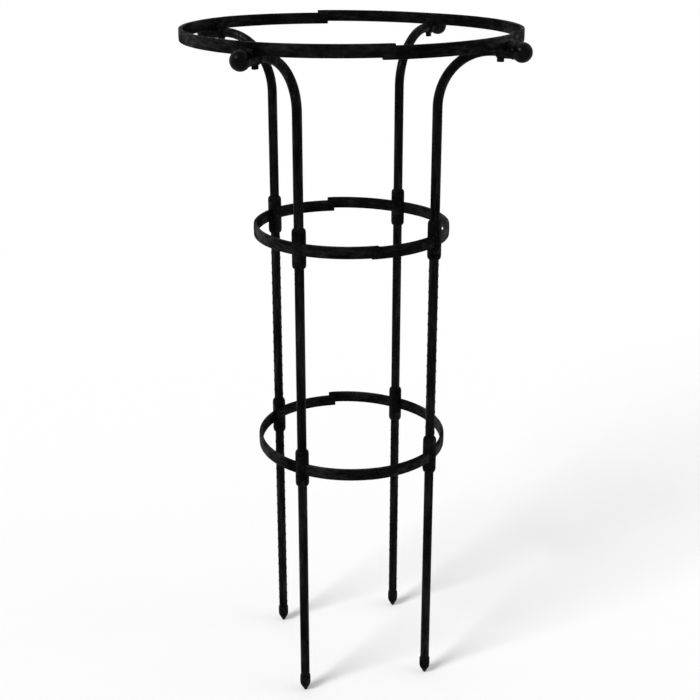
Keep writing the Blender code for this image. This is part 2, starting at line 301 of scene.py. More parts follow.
# %% Groups for the film and the drawn lines
TIGHT_LINES = (2600.0, 9.0, 0.0)
BROAD_LINES = (620.0, 3.0, 0.0)


@shader_group("Place", "Smears per metre")
def hand_film(tree, give):
    """Mask = the mean of a wide and a small noise, to the power of 3."""
    wide = stretch(tree, noise(tree, give["Place"], give["Smears per metre"], 3.0, 0.6), 0.34, 0.66)
    small = noise(tree, give["Place"], times(tree, give["Smears per metre"], 5.0), 3.0, 0.6)
    film = times(tree, plus(tree, wide, stretch(tree, small, 0.32, 0.68)), 0.5)
    return {"Mask": maths(tree, "POWER", film, 3.0)}


@shader_group("Run")
def drawn_lines(tree, give):
    """Height = half of the tight lines + the broad ones, and the mask is the tight ones drawn out."""
    tight = noise(tree, scaled(tree, give["Run"], TIGHT_LINES), 1.0)
    broad = noise(tree, scaled(tree, give["Run"], BROAD_LINES), 1.0)
    height = plus(tree, times(tree, tight, 0.5), broad)
    return {"Height": height, "Mask": stretch(tree, tight, 0.40, 0.66)}


# %% [markdown]
# ## The four finishes
# One recipe makes all four blacks, with different values: a coated tube is satin and drawn, moulded
# sleeves are the dullest and grainiest, the band is smoother, and the ball ends are the shiniest. The
# shader stays in the material. The blacks are written as dark as they look in the photograph, and
# the reflection is kept low for the same reason.
# White surroundings would wash out every surface that is seen edge-on, so a Layer Weight node takes
# the reflection back there.

# %% One recipe for black plastic
RUBBED_COLOUR = (0.013, 0.013, 0.0125, 1.0)
DUST_COLOUR = (0.022, 0.021, 0.019, 1.0)
TONE_SPOTS = 24.0
SMEARS = 60.0
BUMP_DISTANCE = 0.2 * MM
HAIRLINES_PALE = 0.5
HAIRLINES_DEEP = -0.6
GRAIN_UNDER_LINES = 0.5
LINES_DULL = 0.05
# what dust, rubbing and hairlines add to the roughness
DULLED_BY = (0.3, -0.08, 0.12)
# from and to which facing the reflection is taken back, and what is left of it at both ends
TAKEN_BACK = (0.35, 0.85, 1.0, 0.03)


def black_plastic(
    name, deep, pale, gloss, grain, wear, dust, reflection, smears=(1.0, 1.0, 1.0), drawn=False
):
    """A black plastic. Gloss and reflection are (lowest, highest), grain is (per metre, bump strength).

    smears squeezes the film's pattern along each axis, and below 1 it draws the smears out along it.
    """
    look = bpy.data.materials.new(name)
    look.use_nodes = True
    tree = look.node_tree
    sockets = tree.nodes["Principled BSDF"].inputs
    place = add_node(tree, "ShaderNodeTexCoord").outputs["Object"]

    def put(group, inputs):
        return add_node(tree, "ShaderNodeGroup", inputs, node_tree=group).outputs

    blacks = {"Deep": (*deep, 1.0), "Pale": (*pale, 1.0)}
    tone = put(tone_drift, {"Place": place, "Spots per metre": TONE_SPOTS, **blacks})
    measured = add_node(tree, "ShaderNodeAttribute", attribute_name="wear").outputs["Fac"]
    rubbed = put(rubbed_edges, {"Place": place, "Wear": measured, "Strength": wear})["Mask"]
    marks = put(hairlines, {"Place": place, "Strength": wear})["Mask"]
    facing = add_node(tree, "ShaderNodeNewGeometry").outputs["Normal"]
    upward = add_node(tree, "ShaderNodeSeparateXYZ", {0: facing}).outputs["Z"]
    dusty = put(settled_dust, {"Place": place, "Upward": upward, "Strength": dust})["Mask"]
    paler = maths(tree, "MINIMUM", plus(tree, rubbed, times(tree, marks, HAIRLINES_PALE)), 1.0)
    colour = blend(tree, paler, tone["Colour"], RUBBED_COLOUR)
    changes = [times(tree, mask, share) for mask, share in zip((dusty, rubbed, marks), DULLED_BY)]
    rough = plus(tree, stretch(tree, tone["Share"], 0.0, 1.0, *gloss), *changes)
    height = put(mould_grain, {"Place": place, "Grains per metre": grain[0]})["Height"]
    if drawn:
        run = add_node(tree, "ShaderNodeUVMap", uv_map="run").outputs["UV"]
        lines = put(drawn_lines, {"Run": run})
        height = plus(tree, times(tree, height, GRAIN_UNDER_LINES), lines["Height"])
        rough = plus(tree, rough, times(tree, lines["Mask"], LINES_DULL))
    height = plus(tree, height, times(tree, marks, HAIRLINES_DEEP))
    bump = {"Height": height, "Strength": grain[1], "Distance": BUMP_DISTANCE}
    film = put(hand_film, {"Place": scaled(tree, place, smears), "Smears per metre": SMEARS})["Mask"]
    edge_on = add_node(tree, "ShaderNodeLayerWeight", {"Blend": 0.5}).outputs["Facing"]
    clear = times(tree, stretch(tree, film, 0.0, 1.0, *reflection), stretch(tree, edge_on, *TAKEN_BACK))
    tree.links.new(blend(tree, dusty, colour, DUST_COLOUR), sockets["Base Color"])
    tree.links.new(rough, sockets["Roughness"])
    tree.links.new(add_node(tree, "ShaderNodeBump", bump).outputs["Normal"], sockets["Normal"])
    tree.links.new(clear, sockets["Specular IOR Level"])
    return look


# %% The four blacks of this support
DEEP_BLACK = (0.0006, 0.0006, 0.0007)
PALE_BLACK = (0.0030, 0.0030, 0.0031)
RECIPES = {
    "coated_tube": dict(
        deep=DEEP_BLACK, pale=PALE_BLACK, gloss=(0.28, 0.42), grain=(1500.0, 0.35), wear=0.45,
        dust=0.10, reflection=(0.006, 0.200), smears=(1.8, 1.8, 0.2), drawn=True,
    ),
    "moulded_black": dict(
        deep=DEEP_BLACK, pale=PALE_BLACK, gloss=(0.36, 0.52), grain=(2200.0, 0.50), wear=0.60,
        dust=0.12, reflection=(0.003, 0.150),
    ),
    "band_black": dict(
        deep=(0.0007, 0.0007, 0.0008), pale=(0.0034, 0.0034, 0.0035), gloss=(0.24, 0.37),
        grain=(1300.0, 0.28), wear=0.55, dust=0.10, reflection=(0.003, 0.170),
        smears=(0.35, 0.35, 1.0), drawn=True,
    ),
    "ball_black": dict(
        deep=DEEP_BLACK, pale=(0.0020, 0.0020, 0.0021), gloss=(0.16, 0.24), grain=(1700.0, 0.12),
        wear=0.30, dust=0.10, reflection=(0.026, 0.120),
    ),
}
looks = {name: black_plastic(name, **recipe) for name, recipe in RECIPES.items()}
print("finishes:", list(looks))

# %% [markdown]
# ## Edges that look handled
# Moulded and coated parts catch light first where their edges are rubbed. Each finished skin gets an
# attribute named wear, which says how sharply the surface turns outwards at each point. It could be
# painted by hand, but it can be measured: along an edge from a to b, the surface turns by
# (normal b - normal a) . (b - a) / |b - a|^2, in radians per metre. A point takes twice the mean of
# its edges, because about half of them run along a rounded corner, where nothing turns.

# %% Measure the wear
CALM_TURN = 420.0
RUBBED_TURN = 1900.0


def read_rows(items, key, width, kind=float):
    """What Blender holds for each item under a key, as an array with that many numbers to a row."""
    values = np.empty(len(items) * width, kind)
    items.foreach_get(key, values)
    return values.reshape(-1, width)


def measure_wear(mesh):
    """Fills the attribute wear from 0 on calm surfaces to 1 on tight outward edges."""
    count = len(mesh.vertices)
    places = read_rows(mesh.vertices, "co", 3)
    normals = read_rows(mesh.vertex_normals, "vector", 3)
    ends = read_rows(mesh.edges, "vertices", 2, np.int32)
    step = places[ends[:, 1]] - places[ends[:, 0]]
    turn = ((normals[ends[:, 1]] - normals[ends[:, 0]]) * step).sum(1)
    turn = turn / np.maximum((step**2).sum(1), 1e-12)
    total = np.bincount(ends.ravel(), np.repeat(turn, 2), count)
    share = np.maximum(np.bincount(ends.ravel(), minlength=count), 1)
    wear = np.clip((2 * total / share - CALM_TURN) / (RUBBED_TURN - CALM_TURN), 0, 1)
    mesh.attributes.new("wear", "FLOAT", "POINT").data.foreach_set("value", wear.astype(np.float32))
    return wear


# %% Turn a skin into a finished piece
SHARP_ANGLE = math.radians(38)


def add_object(name, data):
    """A new object in the scene, at the origin."""
    made = bpy.data.objects.new(name, data)
    bpy.context.scene.collection.objects.link(made)
    return made


def finish_piece(node, skin, slot):
    """Builds the mesh of a skin, checks that it faces outwards, and lets it stand for its CAD node."""
    points, corners, places = skin
    triangles = np.concatenate([corners[:, [0, 1, 2]], corners[:, [0, 2, 3]]])
    a, b, c = (points[triangles[:, k]] for k in range(3))
    volume = (a * np.cross(b, c)).sum() / 6
    assert volume > 0, node + " faces inwards"
    keep = np.ones(corners.shape, bool)
    keep[corners[:, 0] == corners[:, 1], 0] = False
    keep[corners[:, 2] == corners[:, 3], 3] = False
    used, loops = np.unique(corners[keep], return_inverse=True)
    sides = keep.sum(axis=1)
    mesh = bpy.data.meshes.new(node + "_finished")
    mesh.vertices.add(len(used))
    mesh.vertices.foreach_set("co", points[used].astype(np.float32).ravel())
    mesh.loops.add(len(loops))
    mesh.loops.foreach_set("vertex_index", loops.astype(np.int32).ravel())
    mesh.polygons.add(len(sides))
    mesh.polygons.foreach_set("loop_start", (np.cumsum(sides) - sides).astype(np.int32))
    mesh.update(calc_edges=True)
    mesh.uv_layers.new(name="run").data.foreach_set("uv", places[keep].astype(np.float32).ravel())
    mesh.shade_smooth()
    mesh.set_sharp_from_angle(angle=SHARP_ANGLE)
    rubbed = float((measure_wear(mesh) > 0.5).mean())
    mesh.materials.append(looks[slot])
    piece = add_object(node + "_finished", mesh)
    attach(piece, "root")
    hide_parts(node)
    print(node, "faces", len(sides), "cm3", round(volume * 1e6, 2), "rubbed share", round(rubbed, 3))


# %% [markdown]
# ## Rounded edges and lathe work
# No edge on the real pieces is knife-sharp, so every profile turns its corners on a small arc. The
# helper for that gives the points of a quarter circle between two corners of a profile. A lathe skin
# carries such a profile round an axis: radius r and height h become (r cos a, r sin a, h). Where two
# shapes meet, a rounded maximum or minimum of their radii makes the fillet.

# %% Arcs and lines of a profile
CLEARANCE = 0.3 * MM
TUBE_RADIUS = 6.1 * MM
BORE_RADIUS = TUBE_RADIUS + CLEARANCE
WHOLE_TURN = 2 * math.pi
QUARTER_TURN = math.pi / 2
ARC_STEPS = 5


def arc(centre, start, end, radius, steps=ARC_STEPS):
    """Points centre + radius (cos a, sin a) for angles a from start to end, in degrees."""
    angle = np.radians(np.linspace(start, end, steps))
    return np.stack([centre[0] + radius * np.cos(angle), centre[1] + radius * np.sin(angle)], axis=1)


def upright(radius, heights):
    """Points of a straight wall at one radius: (radius, h) for each height h."""
    return np.stack([np.full(len(heights), radius), heights], axis=1)


def line(start, end, steps):
    """Points start + t (end - start) from the start towards the end, without the end itself."""
    share = np.linspace(0, 1, steps + 1)[:-1, None]
    return np.array(start) + share * (np.array(end) - np.array(start))


# %% Rounded maximum and minimum
def smooth_max(first, second, reach):
    """The larger of two values, rounded: max + reach h^2 / 4, with h = 1 - |difference| / reach."""
    near = np.clip(1 - np.abs(first - second) / reach, 0, None)
    return np.maximum(first, second) + reach * near**2 / 4


def smooth_min(first, second, reach):
    """The smaller of two values with a rounded change-over."""
    return -smooth_max(-np.asarray(first), -np.asarray(second), reach)


# %% Carry a profile round an axis
def whole_turn(columns):
    """Evenly spread angles of a whole turn, without repeating the first."""
    return np.linspace(0, WHOLE_TURN, columns, endpoint=False)


def turned(profile, angles, swell=0.0):
    """A profile carried round the Z axis: (r cos a, r sin a, h) for each row (r, h) and angle a."""
    radius = profile[:, :1] + swell
    across = radius * np.cos(angles)
    height = np.broadcast_to(profile[:, 1:], across.shape)
    return np.stack([across, radius * np.sin(angles), height], axis=-1)


def round_size(angles, size):
    """Distance round a piece of that radius at each angle, and on to the first one again."""
    return np.append(angles, angles[0] + WHOLE_TURN) * size


def lathe_skin(points, profile, angles, size, rows_close=False, skip=None):
    """Skin of a profile carried round, its texture place in metres round that size and along."""
    along = run_length(profile, rows_close)
    return grid_skin(points, round_size(angles, size), along, rows_close, skip)


# %% Put a piece at its leg
def at_corner(points, corner, radius=leg_radius, height=0.0, roll=0.0):
    """Moves points from a leg's own frame (x outwards, z up) to that leg: a turn and a shift."""
    angle = corner_angle[corner]
    cos, sin = math.cos(angle + roll), math.sin(angle + roll)
    spin = np.array([[cos, sin, 0], [-sin, cos, 0], [0, 0, 1]])
    return points @ spin + np.array([radius * math.cos(angle), radius * math.sin(angle), height])


# %% [markdown]
# ## Straight leg tubes with nubs
# The lower and middle leg tubes are thin steel tubes in a black plastic coat. On this kind of stake
# the coat carries small raised nubs in four rows, which keep a tie from sliding down. The photograph
# shows them as gentle swellings along the outline, those on the left half a step above those on the
# right. Adding hundreds of small lumps as objects would be heavy, so they are part of the skin: the
# radius grows by height (1 - d^2)^2 where d is the distance from a nub's middle over its half size.

# %% Profile of an open tube
TUBE_WALL = 1.2 * MM
TUBE_INNER = TUBE_RADIUS - TUBE_WALL
TUBE_LIP = 0.3 * MM


def open_tube_profile(length, spots):
    """Closed profile of an open tube: up its outer wall by the spots, over the lip, down inside."""
    lip = TUBE_LIP
    return np.concatenate([
        arc((TUBE_RADIUS - lip, lip), -90, 0, lip),
        upright(TUBE_RADIUS, spots),
        arc((TUBE_RADIUS - lip, length - lip), 0, 90, lip),
        arc((TUBE_INNER + lip, length - lip), 90, 180, lip),
        upright(TUBE_INNER, spots[::-1]),
        arc((TUBE_INNER + lip, lip), 180, 270, lip),
    ])


# %% Nubs in four rows
NUB_PITCH = 14.5 * MM
NUB_HEIGHT = 0.42 * MM
NUB_HALF_LENGTH = 2.9 * MM
NUB_HALF_WIDTH = 1.8 * MM
NUB_ROWS = 4
NUB_ROW_TURN = WHOLE_TURN / NUB_ROWS
NUB_FROM_END = 7.0 * MM
DENSE_LINES_PAST_NUB = 1.1


def nub_angles():
    """Angles of a turn that are close together across each nub row and wider between the rows."""
    half = NUB_HALF_WIDTH * DENSE_LINES_PAST_NUB / TUBE_RADIUS
    dense = np.linspace(-half, half, 13)
    quarter = np.concatenate([dense, np.linspace(half, NUB_ROW_TURN - half, 7)[1:-1]])
    return np.concatenate([quarter + row * NUB_ROW_TURN for row in range(NUB_ROWS)])


def nub_swell(angles, spots, first, last):
    """Extra radius at each (spot, angle): height (1 - d^2)^2, each row a quarter pitch higher."""
    row = np.round(angles / NUB_ROW_TURN)
    lift = (row % NUB_ROWS) / NUB_ROWS
    aside = (angles - row * NUB_ROW_TURN) * TUBE_RADIUS / NUB_HALF_WIDTH
    centre = (np.round((spots[:, None] - first) / NUB_PITCH - lift) + lift) * NUB_PITCH + first
    above = (spots[:, None] - centre) / NUB_HALF_LENGTH
    inside = np.clip(1 - aside**2 - above**2, 0, None)
    return NUB_HEIGHT * inside**2 * ((centre >= first) & (centre <= last))


# %% Build the straight tubes
TUBE_ROW_STEP = 0.75 * MM
SLEEVE_COVER = 15.5 * MM
POINT_COVER = 1.0 * MM
ROLL = {
    "lower": {"front_left": 45.0, "front_right": 38.0, "back_left": 0.0, "back_right": 12.0},
    "middle": {"front_left": 40.0, "front_right": 0.0, "back_left": 8.0, "back_right": 45.0},
}
CAMERA_TURN = math.radians(13.3)


def straight_tube(corner, stage):
    """One straight tube between its solid's ends, its nub rows rolled as the photograph shows."""
    low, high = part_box(f"{corner}_{stage}_tube")
    length = high.z - low.z
    spots = np.linspace(2 * TUBE_LIP, length - 2 * TUBE_LIP, int(length / TUBE_ROW_STEP))
    profile = open_tube_profile(length, spots)
    angles = nub_angles()
    first = NUB_FROM_END + (POINT_COVER if stage == "lower" else SLEEVE_COVER)
    last = length - SLEEVE_COVER - NUB_FROM_END
    swell = np.zeros((len(profile), len(angles)))
    swell[ARC_STEPS : ARC_STEPS + len(spots)] = nub_swell(angles, spots, first, last)
    roll = math.radians(ROLL[stage][corner]) - CAMERA_TURN - corner_angle[corner]
    placed = at_corner(turned(profile, angles, swell), corner, height=low.z, roll=roll)
    return lathe_skin(placed, profile, angles, TUBE_RADIUS, rows_close=True)


for corner in CORNERS:
    for stage in ROLL:
        finish_piece(f"{corner}_{stage}_tube", straight_tube(corner, stage), "coated_tube")

# %% [markdown]
# ## Top tubes with their bend
# Above the middle ring each tube is smooth and bends outwards by a quarter turn. A tube that is bent
# over a former gets slightly flatter in the plane of the bend. The skin is a circle carried along a
# line, an arc and a line: at lean t the middle line is at (b (1 - cos t), b sin t) past the bend's
# start, for bend radius b. A Curve object could do that too, but not the flattening or the inner wall.

# %% Build the bent tubes
BEND_FLATTENING = 0.035
BENT_COLUMNS = 56
CLIP_INBOARD = 11.0 * MM
CLIP_OUTBOARD = 7.0 * MM
SOCKET_END = 4.4 * MM
BEND_TO_CLIP = 4.2 * MM
BALL_OUTSIDE_RING = 19.8 * MM
bend_radius = ring_radius["top"] - CLIP_INBOARD - BEND_TO_CLIP - leg_radius


def bent_tube(corner):
    """A circle carried up, round a quarter bend and outwards; the section leans with the path."""
    low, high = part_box(corner + "_bent_top_tube")
    straight = high.z - TUBE_RADIUS - low.z - bend_radius
    turn_end = straight + bend_radius * QUARTER_TURN
    length = turn_end + ring_radius["top"] - SOCKET_END - CLEARANCE - leg_radius - bend_radius
    spots = np.concatenate([
        np.linspace(2 * TUBE_LIP, straight, 60)[:-1],
        np.linspace(straight, turn_end, 56),
        np.linspace(turn_end, length - 2 * TUBE_LIP, 24)[1:],
    ])
    profile = open_tube_profile(length, spots)
    radius, run = profile[:, :1], profile[:, 1:]
    lean = np.clip((run - straight) / bend_radius, 0, QUARTER_TURN)
    flat = BEND_FLATTENING * np.sin(2 * lean)
    angles = whole_turn(BENT_COLUMNS)
    inwards = radius * (1 - flat) * np.cos(angles)
    points = np.stack([
        bend_radius * (1 - np.cos(lean)) + np.maximum(run - turn_end, 0) + inwards * np.cos(lean),
        radius * (1 + flat / 2) * np.sin(angles),
        np.minimum(run, straight) + bend_radius * np.sin(lean) - inwards * np.sin(lean),
    ], axis=-1)
    placed = at_corner(points, corner, height=low.z)
    return lathe_skin(placed, profile, angles, TUBE_RADIUS, rows_close=True)


for corner in CORNERS:
    finish_piece(corner + "_bent_top_tube", bent_tube(corner), "coated_tube")
arm_height = middle_of("front_left_ball_end").z
print("arms at", round(arm_height, 4), "bend radius", round(bend_radius, 4))

# %% [markdown]
# ## Sleeves with a slot for the band
# A sleeve is a moulded tube with rounded ends. Each end takes a tube, and a slot through its middle
# takes the band of a small ring. The skin is turned on a lathe, and the slot is made in the same
# grid: the cells inside the slot's outline are left out on both sides, and the two openings are
# joined by a wall straight through. Points just outside the opening sink by a small quarter circle,
# so the rim of the slot is rounded as a moulded rim is.

# %% Grid lines of the sleeve
SLEEVE_RADIUS = 8.9 * MM
SLEEVE_END_DROP = 2.1 * MM
SLEEVE_END_RUN = 5.0 * MM
WEB_HALF = BAND_HEIGHT / 2 + CLEARANCE + 1.5 * MM
SLOT_MIDDLE = 2.7 * MM
SLOT_INNER = SLOT_MIDDLE - BAND_THICKNESS / 2 - CLEARANCE
SLOT_OUTER = SLOT_MIDDLE + BAND_THICKNESS / 2 + CLEARANCE
SLOT_HALF_HEIGHT = BAND_HEIGHT / 2 + CLEARANCE
SLOT_RIM = 0.45 * MM
RIM_STEPS = SLOT_RIM * (1 - np.sin(np.radians([0.0, 30.0, 60.0, 90.0])))


def sleeve_angles():
    """Angles of a turn, the same on both sides, and the numbers of the slot's first and last."""
    outer = np.arccos((SLOT_OUTER + RIM_STEPS) / SLEEVE_RADIUS)
    inner = np.arccos((SLOT_INNER - RIM_STEPS[::-1]) / SLEEVE_RADIUS)
    front = np.linspace(0, outer[0], 11)[:-1]
    between = np.linspace(outer[-1], inner[0], 6)[1:-1]
    half = np.concatenate([front, outer, between, inner, np.linspace(inner[-1], math.pi, 17)[1:]])
    first = len(front) + len(outer) - 1
    return np.concatenate([half, WHOLE_TURN - half[-2:0:-1]]), first, first + len(between) + 1


def sleeve_profile(half):
    """Radius and height from one socket's floor over the wall to the other's, and the slot's row."""
    lip = 0.35 * MM
    end = np.radians(np.linspace(-90, 0, 7))
    drop = SLEEVE_END_DROP * (1 - np.cos(end))
    socket = np.concatenate([
        line((0, -WEB_HALF), (BORE_RADIUS, -WEB_HALF), 4),
        line((BORE_RADIUS, -WEB_HALF), (BORE_RADIUS, lip - half), 7),
        arc((BORE_RADIUS + lip, lip - half), 180, 270, lip),
        np.stack([SLEEVE_RADIUS - drop, SLEEVE_END_RUN * (1 + np.sin(end)) - half], axis=1),
    ])
    rim = -(SLOT_HALF_HEIGHT + RIM_STEPS)
    wall = np.linspace(socket[-1, 1], rim[0], 12)[1:-1]
    heights = np.concatenate([wall, rim, np.linspace(rim[-1], 0, 6)[1:]])
    lower = np.concatenate([socket, upright(SLEEVE_RADIUS, heights)])
    return np.concatenate([lower, lower[-2::-1] * (1, -1)]), len(socket) + len(wall) + len(rim) - 1


# %% Build the sleeves
def sleeve_grid(profile, angles):
    """The sleeve's grid in its own frame, with the rim of its slot rounded."""
    points = turned(profile, angles)
    on_wall = np.isclose(profile[:, 0], SLEEVE_RADIUS)[:, None]
    x, y, z = np.moveaxis(points, -1, 0)
    beside = np.maximum(np.maximum(x - SLOT_OUTER, SLOT_INNER - x), 0)
    above = np.maximum(np.abs(z) - SLOT_HALF_HEIGHT, 0)
    away = np.minimum(np.hypot(beside, above), SLOT_RIM)
    sink = SLOT_RIM - np.sqrt(SLOT_RIM**2 - (SLOT_RIM - away) ** 2)
    points[..., 1] = np.where(on_wall, y - np.sign(y) * sink, y)
    return points


def sleeve_skin(corner, node):
    """One sleeve: the cells of both openings are left out and a wall joins their outlines."""
    low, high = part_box(node)
    angles, first, last = sleeve_angles()
    profile, low_row = sleeve_profile((high.z - low.z) / 2)
    high_row = len(profile) - 1 - low_row
    columns = len(angles)
    skip = np.zeros((len(profile) - 1, columns), bool)
    skip[low_row:high_row, first:last] = True
    skip[low_row:high_row, columns - last : columns - first] = True
    placed = at_corner(sleeve_grid(profile, angles), corner, height=(low.z + high.z) / 2)
    flat, corners, places = lathe_skin(placed, profile, angles, SLEEVE_RADIUS, skip=skip)
    wide, tall = last - first, high_row - low_row
    rows = np.concatenate([
        np.full(wide, low_row), np.arange(low_row, high_row),
        np.full(wide, high_row), np.arange(high_row, low_row, -1),
    ])
    across = np.concatenate([
        np.arange(first, last), np.full(tall, last), np.arange(last, first, -1), np.full(tall, first),
    ])
    near = rows * columns + across
    far = rows * columns + (columns - across) % columns
    wall = np.stack([near, np.roll(near, -1), np.roll(far, -1), far], axis=1)
    wall_places = np.zeros((len(wall), 4, 2))
    wall_places[:, 1:3, 0] = MM
    wall_places[:, 2:, 1] = 2 * SLEEVE_RADIUS
    return flat, np.concatenate([corners, wall]), np.concatenate([places, wall_places])


for corner in CORNERS:
    for stage in ("lower", "upper"):
        node = f"{corner}_{stage}_sleeve"
        finish_piece(node, sleeve_skin(corner, node), "moulded_black")

# %% [markdown]
# ## Clips that hold the wide ring
# Each clip is one moulding: a socket for the arm, a slot that the band sits in, two cheeks that rise
# beside the band, a small tab below and a spigot that the ball is pushed onto. Joining boxes and
# cylinders would leave knife edges where they meet. Here the clip is a polar grid about the arm: at
# station x along the arm and angle a round it the radius is the largest of the collar, the cheek's
# box and the tab's box, with rounded change-overs, so that every root has a fillet. A box of half
# width w and height h is met by a ray at radius min(w / |cos a|, h / sin a), and the slot's floor at
# height s at radius s / sin a.

# %% Sizes of the clip
COLLAR_RADIUS = BORE_RADIUS + 1.8 * MM
CHEEK_INNER = BAND_THICKNESS / 2 + CLEARANCE
CHEEK_OUTER = CHEEK_INNER + 2.2 * MM
CHEEK_HALF_WIDTH = 6.5 * MM
SEAT_HEIGHT = ring_height["top"] - arm_height - BAND_HEIGHT / 2 - CLEARANCE
CHEEK_TOP = SEAT_HEIGHT + CLEARANCE + 8.0 * MM
TAB_START = -CLIP_INBOARD
TAB_END = -3.5 * MM
TAB_HALF_WIDTH = 2.5 * MM
TAB_DEPTH = COLLAR_RADIUS + 4.2 * MM
SPIGOT_RADIUS = 4.5 * MM
CLIP_EDGE = 0.55 * MM
CLIP_ROOT = 0.6 * MM
CLIP_BLEND = 0.8 * MM
BOX_BLEND = 1.1 * MM
SEAT_ROOT = 0.2 * MM
HAIR = 0.012 * MM


# %% Radius of the clip's skin
def ray_to_box(angles, half_width, height, upwards):
    """Radius at which a ray leaves a box on the axis: the smaller of its side's and its top's."""
    rising = np.sin(angles) * upwards
    side = half_width / np.maximum(np.abs(np.cos(angles)), 1e-6)
    top = height / np.maximum(rising, 1e-6)
    return np.where(rising > 0, smooth_min(side, top, BOX_BLEND), 0.0)


def rounding(distance, size):
    """How far a surface has drawn in at a distance from its end: size - sqrt(size^2 - (size - d)^2)."""
    left = np.clip(size - distance, 0, size)
    return size - np.sqrt(size**2 - left**2)


def clip_radius(x, angles):
    """Radius of the clip's skin at stations x and angles: collar, cheeks with their seat, and tab."""
    x = x[:, None]
    far = np.abs(x)
    collar = COLLAR_RADIUS - rounding(np.minimum(x + CLIP_INBOARD, CLIP_OUTBOARD - x), CLIP_EDGE)

    def with_box(base, half_width, height, upwards):
        return smooth_max(base, ray_to_box(angles, half_width, height, upwards), CLIP_BLEND)

    from_seat = rounding(far - CHEEK_INNER, CLIP_EDGE)
    drawn_in = np.maximum(rounding(CHEEK_OUTER - far, CLIP_EDGE), from_seat)
    slot_floor = SEAT_HEIGHT / np.maximum(np.sin(angles), 0.05)
    slot_rim = from_seat * np.clip((COLLAR_RADIUS - slot_floor) / CLIP_EDGE, 0, 1)
    cheek = with_box(collar - slot_rim, CHEEK_HALF_WIDTH - drawn_in, CHEEK_TOP - drawn_in, 1)
    full = with_box(collar, CHEEK_HALF_WIDTH, CHEEK_TOP, 1)
    outside = np.minimum(full, collar + rounding(far - CHEEK_OUTER, CLIP_ROOT))
    seat = np.minimum(full, np.minimum(collar, slot_floor) + rounding(CHEEK_INNER - far, SEAT_ROOT))
    upper = np.where(far > CHEEK_OUTER, outside, np.where(far > CHEEK_INNER, cheek, seat))
    into = np.minimum(x - TAB_START, TAB_END - x)
    trimmed = rounding(into, CLIP_EDGE)
    tab = with_box(collar, TAB_HALF_WIDTH - trimmed, TAB_DEPTH - trimmed, -1)
    whole = with_box(collar, TAB_HALF_WIDTH, TAB_DEPTH, -1)
    beside = np.minimum(whole, collar + rounding(-into, CLIP_ROOT))
    return np.where(np.sin(angles) > 0, upper, np.where(into > 0, tab, beside))


# %% Grid lines of the clip
CLIP_COLUMNS = 176
EVEN_SHARE = 0.4


def edge_stations(place, into, outside=CLIP_ROOT):
    """Stations beside a face: arcs of the edge on its solid side and of the root on the other."""
    arcs = 1 - np.sin(np.radians([0.0, 30.0, 60.0]))
    inner = np.append(arcs * CLIP_EDGE, HAIR)
    outer = np.append(arcs * outside, HAIR)
    return np.concatenate([place + into * inner, place - into * outer])


def clip_stations():
    """All stations along the arm, in order, with extra ones where a wall or an edge needs them."""
    lip = CLIP_EDGE * (1 - np.cos(np.radians([0.0, 22.5, 45.0, 67.5, 90.0])))
    return np.unique(np.concatenate([
        lip - CLIP_INBOARD, CLIP_OUTBOARD - lip, edge_stations(TAB_END, -1),
        edge_stations(-CHEEK_OUTER, 1), edge_stations(CHEEK_OUTER, -1),
        edge_stations(-CHEEK_INNER, -1, SEAT_ROOT), edge_stations(CHEEK_INNER, 1, SEAT_ROOT),
        np.linspace(TAB_START, TAB_END, 6)[1:-1], np.linspace(CHEEK_OUTER, CLIP_OUTBOARD, 4)[1:-1],
        [-0.8 * MM, 0.0, 0.8 * MM],
    ]))


def clip_angles():
    """Angles spread evenly along the clip's largest outline, so that its long sides get enough."""
    fine = np.linspace(0, WHOLE_TURN, 4001)
    widest = np.array([(TAB_START + TAB_END) / 2, (CHEEK_INNER + CHEEK_OUTER) / 2])
    largest = clip_radius(widest, fine).max(axis=0)
    outline = np.stack([largest * np.cos(fine), largest * np.sin(fine)], axis=1)
    share = run_length(outline) + EVEN_SHARE * COLLAR_RADIUS * fine
    return np.interp(np.linspace(0, share[-1], CLIP_COLUMNS, endpoint=False), share, fine)


# %% Build the clips
def clip_skin(corner):
    """From the socket's floor out over its lip, along the worked-out skin, and down over the spigot."""
    stations = clip_stations()
    angles = clip_angles()
    lip = 0.3 * MM
    tip = BALL_OUTSIDE_RING - CLEARANCE
    socket = np.concatenate([
        line((-SOCKET_END, 0), (-SOCKET_END, BORE_RADIUS), 3),
        [[-SOCKET_END, BORE_RADIUS]],
        arc((lip - CLIP_INBOARD, BORE_RADIUS + lip), -90, -180, lip),
    ])
    spigot = np.concatenate([
        [[CLIP_OUTBOARD, SPIGOT_RADIUS]],
        arc((tip - lip, SPIGOT_RADIUS - lip), 90, 0, lip),
        [[tip, 0.0]],
    ])
    inside, outside = (np.repeat(part[:, 1:], len(angles), axis=1) for part in (socket, spigot))
    radius = np.concatenate([inside, clip_radius(stations, angles), outside])
    x = np.concatenate([socket[:, 0], stations, spigot[:, 0]])
    points = np.stack([
        np.broadcast_to(x[:, None], radius.shape), radius * np.cos(angles), radius * np.sin(angles)
    ], axis=-1)
    placed = at_corner(points, corner, ring_radius["top"], arm_height)
    return grid_skin(placed, round_size(angles, COLLAR_RADIUS), np.arange(len(x)) * lip)


for corner in CORNERS:
    finish_piece(corner + "_ring_clip", clip_skin(corner), "moulded_black")

# %% [markdown]
# ## Ball ends
# A glossy ball closes each arm and keeps eyes safe. It has a short neck with a rounded lip, a hollow
# fillet into the ball, a faint ridge at its widest line where the mould parted and a shallow mark on
# its end where the plastic went in. The profile joins these arcs so that each starts in the direction
# in which the last one ended: a fillet of radius f touches neck and ball when its middle lies at
# neck + f from the axis and at ball + f from the ball's middle.

